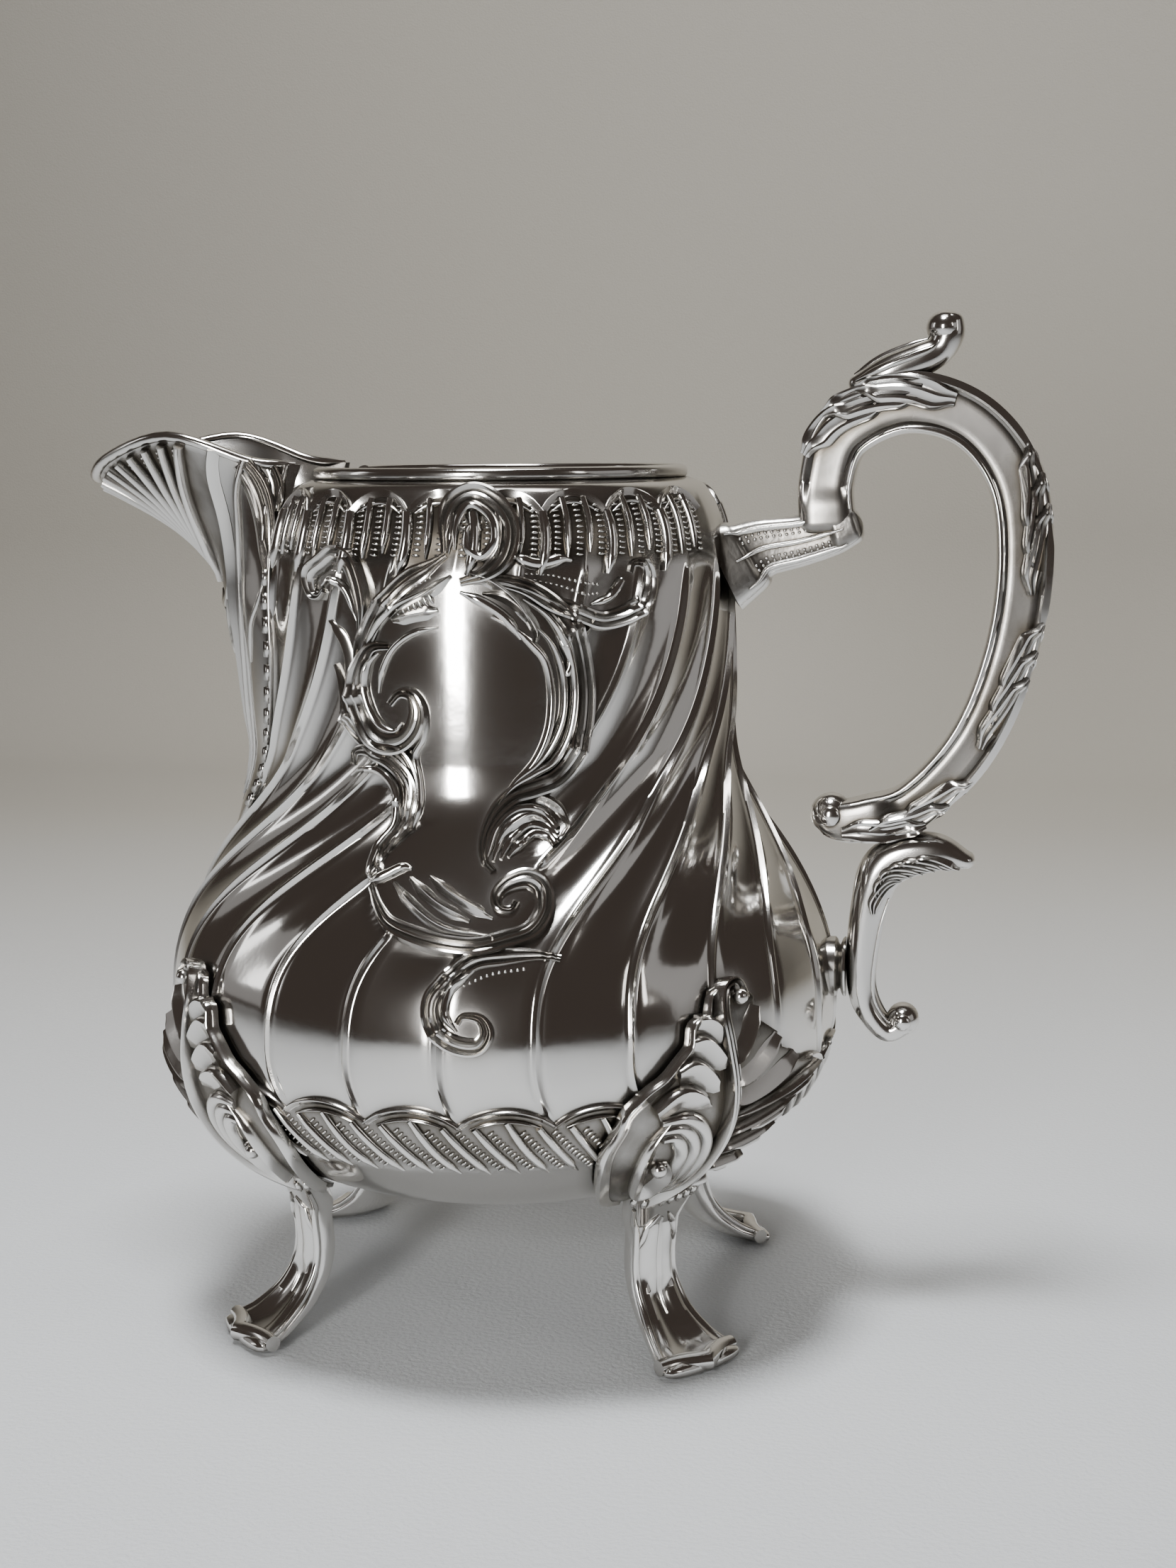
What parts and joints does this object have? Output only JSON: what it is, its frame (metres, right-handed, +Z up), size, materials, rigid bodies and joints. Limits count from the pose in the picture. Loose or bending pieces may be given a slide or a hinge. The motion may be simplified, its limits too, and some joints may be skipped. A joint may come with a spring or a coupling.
{
  "type": "cream jug",
  "caption": "Footed silver cream jug with a pear-shaped swirl-fluted body, flared pouring spout, open scroll handle and splayed legs under acanthus leaf mounts",
  "frame": {"origin": "On the surface the jug stands on, midway between the tip of the spout and the back of the handle, on the plane of symmetry through both", "axes": "+Z up, +X towards the handle and -X towards the spout, +Y to the side away from the viewer when the spout points left"},
  "size_m": [0.1187, 0.0828, 0.1227],
  "materials": {
    "polished_silver": "polished silver, raised and chased, with dark tarnish left in the recesses",
    "cast_silver": "cast and chased silver, polished on the high places and darker in the veins",
    "matted_silver": "stippled (matted) silver with polished edges"
  },
  "bodies": {
    "root": {"body_shell": "polished_silver", "rim_band": "polished_silver", "spout": "cast_silver", "handle_arm": "matted_silver", "handle_loop": "cast_silver", "thumb_scroll": "cast_silver", "handle_spool": "cast_silver", "handle_lower_scroll": "cast_silver", "leg_handle_near": "cast_silver", "leg_handle_far": "cast_silver", "leg_spout_near": "cast_silver", "leg_spout_far": "cast_silver", "leaf_mount_handle_near": "cast_silver", "leaf_mount_handle_far": "cast_silver", "leaf_mount_spout_near": "cast_silver", "leaf_mount_spout_far": "cast_silver"}
  },
  "joints": []
}
